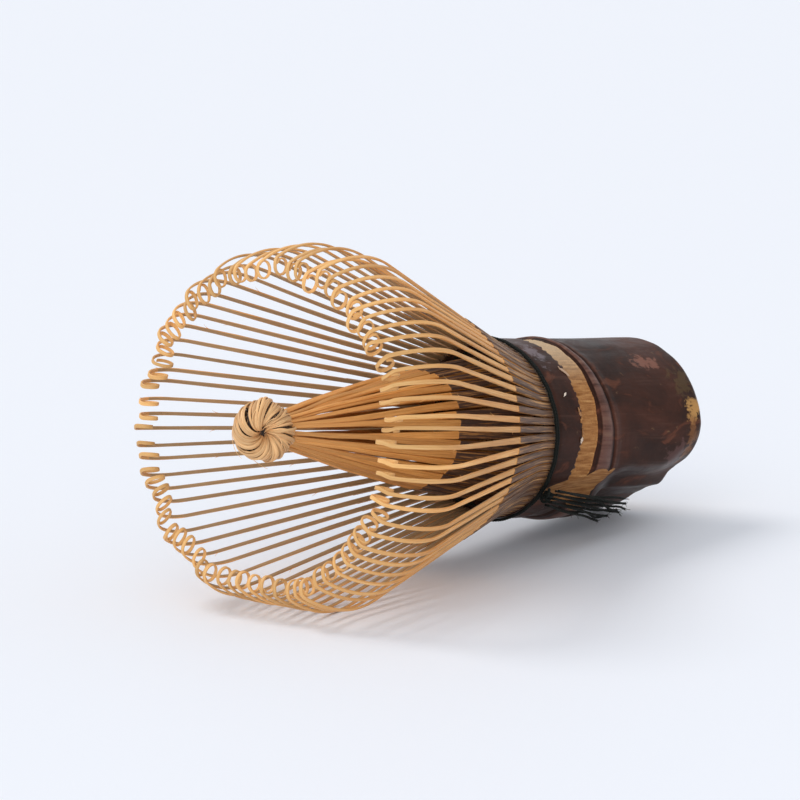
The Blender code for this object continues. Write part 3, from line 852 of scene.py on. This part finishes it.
def make_handle(material):
    shape = Shape()
    rows = culm_rows()
    points = np.stack([row[0] for row in rows])
    mask = np.stack([row[1] for row in rows])
    faces = tube_faces(len(rows), CULM_COLUMNS)
    shape.add(points, [tuple(reversed(face)) for face in faces], points, mask)
    for number, flake in enumerate(FLAKES):
        add_flake(shape, number, *flake)
    shape.piece("handle_skin", material, "handle_bamboo", ["handle_culm"], sharp=60.0)


# ---- thread

def add_yarn(shape, centres, hint, diameter, seed, closed=False, plies=3, lead=1.5, sides=6):
    """A twisted yarn along a path, as its separate plies."""
    across, outward = path_frame(centres, hint, closed)
    length = path_length(centres)
    total = length[-1]
    if closed:
        total = total + np.linalg.norm(centres[0] - centres[-1])
        lead = total / max(round(total / lead), 1)
    ply = diameter * 0.56
    for k in range(plies):
        twist = tau * (length / lead + k / plies)
        offset = (diameter - ply) / 2.0
        path = (centres + across * (offset * np.cos(twist))[:, None]
                + outward * (offset * np.sin(twist))[:, None])
        profile = round_profile(np.full(len(path), ply), ply, sides)
        side, out = path_frame(path, outward, closed)
        sweep(shape, path, side, out, profile, length, seed + 0.3 * k,
              np.array((0.0, 0.5, 0.0)), closed)


def ring_path(station, reach, count=420, lean=0.0, ripple=0.0, waves=36):
    angles = np.arange(count) * tau / count
    return polar(station + lean * np.cos(angles), reach + ripple * np.cos(waves * angles), angles)


def make_wrap(material):
    shape = Shape()
    for turn, (shift, reach) in enumerate(((-0.23, 0.0), (0.22, 0.03))):
        path = ring_path(WRAP_POSITION + shift, WRAP_RADIUS - 0.29 + reach,
                         lean=WRAP_SLANT, ripple=0.03, waves=24)
        add_yarn(shape, path, unit(path * (1.0, 1.0, 0.0)), WRAP_YARN, 800 + turn,
                 closed=True)
    shape.piece("thread_turns", material, "thread", ["thread_wrap"])
    shape = Shape()
    path = ring_path(WEAVE_POSITION, WEAVE_RADIUS, ripple=0.16)
    add_yarn(shape, path, unit(path * (1.0, 1.0, 0.0)), WEAVE_YARN, 810, closed=True)
    shape.piece("thread_between", material, "thread", ["thread_weave"])


def knot_frame():
    """The thread knot's centre, and its outward, round and along directions."""
    reach = WRAP_RADIUS + 0.45 + 0.5
    station = WRAP_POSITION + WRAP_SLANT * cos(THREAD_KNOT_ANGLE)
    centre = polar(station, reach, THREAD_KNOT_ANGLE)
    outward = polar(0.0, 1.0, THREAD_KNOT_ANGLE)
    return centre, outward, np.array((-outward[1], outward[0], 0.0)), np.array((0.0, 0.0, 1.0))


def make_thread_knot(material):
    """A tight double knot: a trefoil of yarn with two short turns round it."""
    shape = Shape()
    centre, outward, sideways, along = knot_frame()
    t = np.arange(220) * tau / 220
    x = (np.sin(t) + 2.0 * np.sin(2.0 * t)) / 3.0
    y = (np.cos(t) - 2.0 * np.cos(2.0 * t)) / 3.0
    z = -np.sin(3.0 * t)
    path = (centre + np.outer(x, sideways) * 1.15 + np.outer(y, along) * 0.95
            + np.outer(z, outward) * 0.38)
    add_yarn(shape, path, path - centre + 1e-4, 0.5, 820, closed=True)
    for k, shift in enumerate((-0.32, 0.3)):
        t = np.arange(90) * tau / 90
        path = (centre + sideways * shift + np.outer(np.cos(t), along) * 0.72
                + np.outer(np.sin(t), outward) * 0.6)
        add_yarn(shape, path, path - centre - sideways * shift, 0.44, 830 + k, closed=True)
    shape.piece("thread_knot_yarn", material, "thread", ["thread_knot"])


def make_tail(number, material):
    """Two loose ends of the thread, with frayed fibres at their tips."""
    shape = Shape()
    spread = number - (TAILS - 1) / 2.0
    for k in range(2):
        source = np.random.default_rng(8000 + 10 * number + k)
        length = TAIL_LENGTH - 0.7 * abs(spread) - 0.4 * number - 2.2 * k + source.normal(0.0, 0.7)
        share = np.linspace(0.0, 1.0, 70)
        start = THREAD_KNOT_ANGLE - TAIL_SPACING * spread + radians(1.4) * (k - 0.5)
        angle = start - radians(TAIL_DROOP + 1.6 * spread + 2.4 * (k - 0.5)) * share
        angle = angle + radians(1.1) * wobble(share * 22.0, 10.0, source) * share
        reach = WRAP_RADIUS + 1.35 + 0.45 * k + (0.4 + 0.1 * spread ** 2) * share * (1 - share)
        reach = reach + 0.12 * wobble(share * 16.0, 8.0, source) * share
        root = WRAP_POSITION + WRAP_SLANT * cos(THREAD_KNOT_ANGLE) - 0.6
        centres = polar(root - length * share, reach, angle)
        hint = polar(np.zeros(70), 1.0, angle)
        low = 0.3 - height(centres)
        centres = centres + np.where(low > 0.0, low, 0.0)[:, None] * np.array((1.0, 0.0, 0.0))
        add_yarn(shape, centres, hint, TAIL_YARN, 850 + 10 * number + k, lead=1.3)
        add_fray(shape, centres, hint, source, 860 + 10 * number + k)
    shape.piece(f"thread_end_{number + 1}", material, "thread", [f"thread_tail_{number + 1}"])


def add_fray(shape, centres, hint, source, seed):
    """Loose hairs along a thread's end and at its tip."""
    for k in range(9):
        tip = k < 5
        i = len(centres) - 2 if tip else int(source.integers(20, len(centres) - 3))
        travel = unit(centres[i + 1] - centres[i])
        out = hint[i] * source.uniform(-0.6, 0.8)
        aside = np.cross(travel, hint[i]) * source.uniform(-1.0, 1.0)
        size = source.uniform(0.7, 1.7)
        bend = (out + aside) * (0.45 if tip else 0.8)
        add_hair(shape, centres[i], travel * size, bend * size, 1.7, hint[i],
                 np.linspace(0.09, 0.045, 6), 1.0, seed, (0.0, 0.7, 0.0))


# ---- materials

def srgb(code):
    """Scene colour of a six-figure hex code."""
    channels = [int(code[i:i + 2], 16) / 255.0 for i in (0, 2, 4)]
    return tuple(c / 12.92 if c <= 0.04045 else ((c + 0.055) / 1.055) ** 2.4
                 for c in channels) + (1.0,)


class Surface:
    """A material's nodes, laid out with short calls."""

    def __init__(self, name):
        self.material = bpy.data.materials.new(name)
        self.material.use_nodes = True
        self.tree = self.material.node_tree
        self.shader = self.tree.nodes["Principled BSDF"]
        self.lay = self.attribute("lay")
        split = self.node("ShaderNodeSeparateXYZ", {"Vector": self.attribute("mask")})
        self.mask = [split.outputs[k] for k in range(3)]

    def node(self, kind, inputs=None, **settings):
        item = self.tree.nodes.new(kind)
        for key, value in settings.items():
            setattr(item, key, value)
        for key, value in (inputs or {}).items():
            self.put(item.inputs[key], value)
        return item

    def put(self, socket, value):
        if isinstance(value, bpy.types.NodeSocket):
            self.tree.links.new(value, socket)
        else:
            socket.default_value = value

    def attribute(self, name):
        return self.node("ShaderNodeAttribute", attribute_name=name).outputs["Vector"]

    def stretch(self, scale, vector=None):
        vector = self.lay if vector is None else vector
        item = self.node("ShaderNodeMapping", {"Vector": vector, "Scale": scale})
        return item.outputs["Vector"]

    def noise(self, scale, detail=4.0, roughness=0.6, distortion=0.0, vector=None):
        inputs = {"Vector": self.stretch(scale, vector), "Scale": 1.0, "Detail": detail,
                  "Roughness": roughness, "Distortion": distortion}
        return self.node("ShaderNodeTexNoise", inputs).outputs[0]

    def ramp(self, value, stops):
        item = self.node("ShaderNodeValToRGB", {0: value})
        while len(item.color_ramp.elements) < len(stops):
            item.color_ramp.elements.new(0.5)
        for element, (place, colour) in zip(item.color_ramp.elements, stops):
            element.position = place
            element.color = srgb(colour) if isinstance(colour, str) else (colour,) * 3 + (1.0,)
        return item.outputs["Color"]

    def span(self, value, low, high, first=0.0, last=1.0):
        item = self.node("ShaderNodeMapRange", {0: value, 1: low, 2: high, 3: first, 4: last},
                         interpolation_type="SMOOTHSTEP")
        return item.outputs[0]

    def sum(self, operation, first, second):
        item = self.node("ShaderNodeMath", {0: first, 1: second}, operation=operation)
        return item.outputs[0]

    def mix(self, share, first, second, blend="MIX"):
        item = self.node("ShaderNodeMix", data_type="RGBA", blend_type=blend)
        for index, value in ((0, share), (6, first), (7, second)):
            self.put(item.inputs[index], srgb(value) if isinstance(value, str) else value)
        return item.outputs[2]

    def finish(self, colour, roughness, bump, depth, **fixed):
        self.put(self.shader.inputs["Base Color"], colour)
        self.put(self.shader.inputs["Roughness"], roughness)
        relief = self.node("ShaderNodeBump", {"Height": bump, "Strength": 1.0,
                                              "Distance": depth * MM})
        self.put(self.shader.inputs["Normal"], relief.outputs["Normal"])
        for key, value in fixed.items():
            self.shader.inputs[key.replace("_", " ")].default_value = value
        return self.material


def make_tine_bamboo(name, pale, middle, deep, skin_pale, skin_dark, tip, inner_face_shade):
    s = Surface(name)
    fibre = s.noise((0.16, 7.0, 7.0), 5.0, 0.62)
    broad = s.noise((0.045, 0.4, 0.4), 3.0, 0.5)
    wood = s.ramp(fibre, ((0.28, deep), (0.5, middle), (0.74, pale)))
    wood = s.mix(s.span(broad, 0.35, 0.7), wood, s.mix(0.5, wood, deep))
    wood = s.mix(s.sum("MULTIPLY", s.mask[2], 0.35), wood, tip)
    tone = s.span(s.mask[1], 0.0, 1.0, 0.78, 1.12)
    shade = s.node("ShaderNodeCombineColor", {0: tone, 1: tone, 2: tone}).outputs[0]
    wood = s.mix(1.0, wood, shade, "MULTIPLY")
    speck = s.noise((0.9, 3.0, 3.0), 2.0, 0.5)
    wood = s.mix(s.span(speck, 0.68, 0.8), wood, s.mix(0.55, wood, deep))
    streak = s.noise((0.11, 3.4, 3.4), 5.0, 0.66, 0.3)
    skin = s.ramp(streak, ((0.3, skin_dark), (0.52, skin_pale), (0.72, middle)))
    skin = s.mix(1.0, skin, shade, "MULTIPLY")
    # Inner faces (mask -1) take this greyer colour: painted shade on the tines' inner side.
    inner_face_shade = s.mix(0.8, wood, inner_face_shade)
    wood = s.mix(s.span(s.mask[0], -1.0, 0.0, 0.8, 0.0), wood, inner_face_shade)
    colour = s.mix(s.span(s.mask[0], 0.0, 1.0), wood, skin)
    rough = s.span(fibre, 0.3, 0.7, 0.42, 0.62)
    return s.finish(colour, rough, s.sum("ADD", fibre, s.sum("MULTIPLY", streak, 0.6)), 0.035,
                    Specular_IOR_Level=0.42)


def make_handle_bamboo():
    s = Surface("smoked_bamboo")
    cloud = s.noise((0.11, 0.11, 0.07), 5.0, 0.62, 0.6)
    blotch = s.noise((0.23, 0.23, 0.12), 4.0, 0.6, 1.2)
    streak = s.noise((1.1, 1.1, 0.035), 4.0, 0.6, 0.15)
    fleck = s.noise((0.8, 0.8, 0.5), 3.0, 0.6, 0.5)
    skin = s.ramp(cloud, ((0.32, "22110A"), (0.48, "351C12"), (0.62, "442418"),
                          (0.76, "553226")))
    skin = s.mix(s.span(blotch, 0.56, 0.72, 0.0, 0.7), skin, "6B3E2C")
    skin = s.mix(s.span(streak, 0.55, 0.75, 0.0, 0.4), skin, "5A3C30")
    skin = s.mix(s.span(fleck, 0.66, 0.8, 0.0, 0.6), skin, "8A6A4A")
    skin = add_stains_and_highlight(s, skin)
    ridge = s.ramp(streak, ((0.3, "4E342C"), (0.5, "6E4C42"), (0.75, "846454")))
    skin = s.mix(s.span(s.mask[1], 0.0, 1.0, 0.0, 0.85), skin, ridge)
    # Grooves are painted near-black: painted shade in the creases.
    skin = s.mix(s.span(s.mask[1], -1.0, 0.0, 0.75, 0.0), skin, "120B0A")
    fibre = s.noise((2.2, 2.2, 0.22), 5.0, 0.66, 0.2)
    flesh = s.ramp(fibre, ((0.26, "754722"), (0.5, "A67243"), (0.72, "C99760")))
    # Bare flesh is painted paler towards the top of the handle: a painted highlight where light
    # falls.
    rise = s.node("ShaderNodeSeparateXYZ", {"Vector": s.lay}).outputs[0]
    flesh = s.mix(s.span(rise, 7.0, 14.0, 0.0, 0.6), flesh, "D8C6A8")
    flesh = s.mix(s.span(s.mask[0], 1.0, 1.5), flesh, "EAD9C8")
    colour = s.mix(s.span(s.mask[0], 0.25, 0.75), skin, flesh)
    bundle = s.node("ShaderNodeTexVoronoi", {"Vector": s.stretch((1.7, 1.7, 0.05)),
                                             "Scale": 1.0, "Randomness": 0.9}).outputs[0]
    cut = s.mix(s.span(bundle, 0.12, 0.34, 1.0, 0.0), "B58B58", "5B3A20")
    grime = s.noise((0.35, 0.35, 0.2), 4.0, 0.6, 0.4)
    cut = s.mix(s.span(grime, 0.42, 0.72, 0.0, 0.75), cut, "6D4A2E")
    colour = s.mix(s.mask[2], colour, cut)
    rough = s.span(blotch, 0.35, 0.7, 0.34, 0.52)
    bare = s.node("ShaderNodeMath", {0: s.mask[0], 1: s.mask[2]}, operation="MAXIMUM")
    bare.use_clamp = True
    dull = s.node("ShaderNodeMix", {0: bare.outputs[0], 2: rough, 3: 0.66})
    bump = s.sum("ADD", s.sum("MULTIPLY", streak, 0.7), s.sum("MULTIPLY", fleck, 0.5))
    bump = s.sum("ADD", bump, s.sum("MULTIPLY", s.sum("MULTIPLY", fibre, s.mask[0]), 1.4))
    return s.finish(colour, dull.outputs[0], bump, 0.06, Specular_IOR_Level=0.1,
                    Sheen_Weight=0.04, Sheen_Roughness=0.35)


# Stains of the handle's skin, and one painted highlight on the collar: station, angle, size along,
# size round, strength and colour.
STAINS_AND_HIGHLIGHT = (
    (2.3, -72.0, 1.9, 2.2, 0.95, "B98A50"),
    (2.6, -92.0, 1.3, 4.2, 0.6, "8A5A34"),
    (9.5, -38.0, 3.2, 1.5, 0.75, "8A5B4B"),
    (3.2, -56.0, 2.6, 3.0, 0.5, "5E4A2C"),
    (6.0, -104.0, 2.4, 3.0, 0.45, "70504C"),
    (4.5, 60.0, 2.6, 3.0, 0.6, "A0703F"),
    (14.0, 105.0, 3.5, 2.4, 0.5, "7A4A38"),
    (8.0, 165.0, 2.0, 3.5, 0.45, "94683E"),
    (19.5, 20.0, 2.0, 4.0, 0.35, "75564E"),
    # Not a stain: a painted highlight, the grey sheen of a reflection on the collar's top.
    (35.2, -27.0, 1.5, 3.6, 0.55, "8C8086"),
)


def add_stains_and_highlight(s, skin):
    """Soft-edged spots of paler skin, and one painted highlight, each about its own centre."""
    ragged = s.noise((0.7, 0.7, 0.5), 4.0, 0.65, 0.5)
    for station, degrees, along, round_size, strength, colour in STAINS_AND_HIGHLIGHT:
        angle = radians(degrees)
        centre = (HANDLE_RADIUS * cos(angle), HANDLE_RADIUS * sin(angle), station)
        offset = s.node("ShaderNodeVectorMath", {0: s.lay, 1: centre}, operation="SUBTRACT")
        scaled = s.node("ShaderNodeVectorMath", {
            0: offset.outputs[0], 1: (1.0 / round_size, 1.0 / round_size, 1.0 / along)},
            operation="MULTIPLY")
        distance = s.node("ShaderNodeVectorMath", {0: scaled.outputs[0]}, operation="LENGTH")
        edge = s.sum("ADD", distance.outputs["Value"], s.span(ragged, 0.25, 0.75, -0.7, 0.7))
        skin = s.mix(s.span(edge, 0.5, 1.05, strength, 0.0), skin, colour)
    return skin


def make_thread_fibre():
    s = Surface("black_thread")
    hair = s.noise((1.5, 9.0, 9.0), 4.0, 0.65)
    tint = s.noise((0.25, 0.3, 0.3), 2.0, 0.5)
    colour = s.ramp(hair, ((0.3, "060806"), (0.55, "0E120D"), (0.8, "1B201A")))
    colour = s.mix(s.span(tint, 0.45, 0.75, 0.0, 0.5), colour, "131912")
    return s.finish(colour, s.span(hair, 0.3, 0.7, 0.6, 0.85), hair, 0.05,
                    Sheen_Weight=0.03, Sheen_Roughness=0.45, Specular_IOR_Level=0.2)


def make_floor():
    material = bpy.data.materials.new("pale_table")
    material.use_nodes = True
    shader = material.node_tree.nodes["Principled BSDF"]
    shader.inputs["Base Color"].default_value = (0.86, 0.885, 0.95, 1.0)
    shader.inputs["Roughness"].default_value = 0.55
    shader.inputs["Specular IOR Level"].default_value = 0.25
    mesh = bpy.data.meshes.new("table_top")
    half = 6.0
    mesh.from_pydata([(-half, -half, 0.0), (half, -half, 0.0), (half, half, 0.0),
                      (-half, half, 0.0)], [], [(0, 1, 2, 3)])
    mesh.materials.append(material)
    floor = bpy.data.objects.new("table_top", mesh)
    bpy.context.collection.objects.link(floor)


# ---- camera and light

CAMERA_AZIMUTH = radians(-49.8)
CAMERA_ELEVATION = radians(10.2)
CAMERA_ROLL = radians(-1.7)
CAMERA_DISTANCE = 557.0 * MM
CAMERA_AIM = 50.0 * MM
CAMERA_ASIDE = -4.86 * MM
CAMERA_RISE = 4.49 * MM
CAMERA_LENS = 166.5
CAMERA_SENSOR = 36.0


def make_camera():
    a, e = CAMERA_AZIMUTH, CAMERA_ELEVATION
    back = Vector((sin(a) * cos(e), -cos(a) * cos(e), sin(e)))
    right = Vector((cos(a), sin(a), 0.0))
    up = back.cross(right)
    target = (Vector(HANDLE_END) + Vector(ALONG) * CAMERA_AIM + right * CAMERA_ASIDE
              + up * CAMERA_RISE)
    turned_right = right * cos(CAMERA_ROLL) + up * sin(CAMERA_ROLL)
    turned_up = up * cos(CAMERA_ROLL) - right * sin(CAMERA_ROLL)
    lens = bpy.data.cameras.new("camera")
    lens.lens = CAMERA_LENS
    lens.sensor_width = CAMERA_SENSOR
    lens.clip_start = 0.01
    lens.clip_end = 50.0
    camera = bpy.data.objects.new("camera", lens)
    bpy.context.collection.objects.link(camera)
    turn = Matrix((turned_right, turned_up, back)).transposed().to_4x4()
    camera.matrix_world = Matrix.Translation(target + back * CAMERA_DISTANCE) @ turn
    bpy.context.scene.camera = camera


def add_light(name, kind, place, power, colour, **settings):
    data = bpy.data.lights.new(name, kind)
    data.energy = power
    data.color = colour
    for key, value in settings.items():
        setattr(data, key, value)
    light = bpy.data.objects.new(name, data)
    bpy.context.collection.objects.link(light)
    light.location = place
    aim = Vector((0.0, 0.0, 0.02)) - Vector(place)
    light.rotation_mode = "QUATERNION"
    light.rotation_quaternion = aim.to_track_quat("-Z", "Y")


def make_light():
    world = bpy.data.worlds.new("pale_room")
    world.use_nodes = True
    background = world.node_tree.nodes["Background"]
    background.inputs["Color"].default_value = (0.92, 0.955, 1.0, 1.0)
    background.inputs["Strength"].default_value = 0.7
    bpy.context.scene.world = world
    add_light("window", "SUN", (-0.1, 0.8, 1.0), 1.15, (1.0, 0.975, 0.94), angle=radians(24.0))
    add_light("fill", "SUN", (-0.8, -0.5, 0.5), 0.85, (1.0, 0.95, 0.87), angle=radians(50.0))
    bpy.context.scene.view_settings.view_transform = "Standard"


# ---- whole scene

make_camera()
make_light()
make_floor()
# The last colour of the split bamboo is painted shade on the outer tines' inner faces.
tine_bamboo = make_tine_bamboo("split_bamboo", "FCCE90", "EEB16A", "C88440", "70503A", "463024",
                               "F6CF8C", "968A74")
inner_bamboo = make_tine_bamboo("inner_bamboo", "F6B86C", "E39E50", "B4702E", "4E3222",
                                "342018", "F0B876", "A8743E")
# The knot's skin colours paint only its core: painted shade inside the knot.
knot_bamboo = make_tine_bamboo("knot_bamboo", "FCD8A6", "EBB87E", "AD743E", "3A2416", "1C100A",
                               "F2C892", "E0B684")
make_splits("outer", OUTER_SPLITS, (OUTER_ROOT_RADIUS, OUTER_ROOT_FACES, OUTER_SLIT),
            add_outer_tine, tine_bamboo, "tine_bamboo")
make_splits("inner", INNER_SPLITS, (INNER_ROOT_RADIUS, INNER_ROOT_FACES, INNER_SLIT),
            add_inner_tine, inner_bamboo, "inner_bamboo")
make_knot(knot_bamboo)
make_handle(make_handle_bamboo())
thread = make_thread_fibre()
make_wrap(thread)
make_thread_knot(thread)
for tail in range(TAILS):
    make_tail(tail, thread)
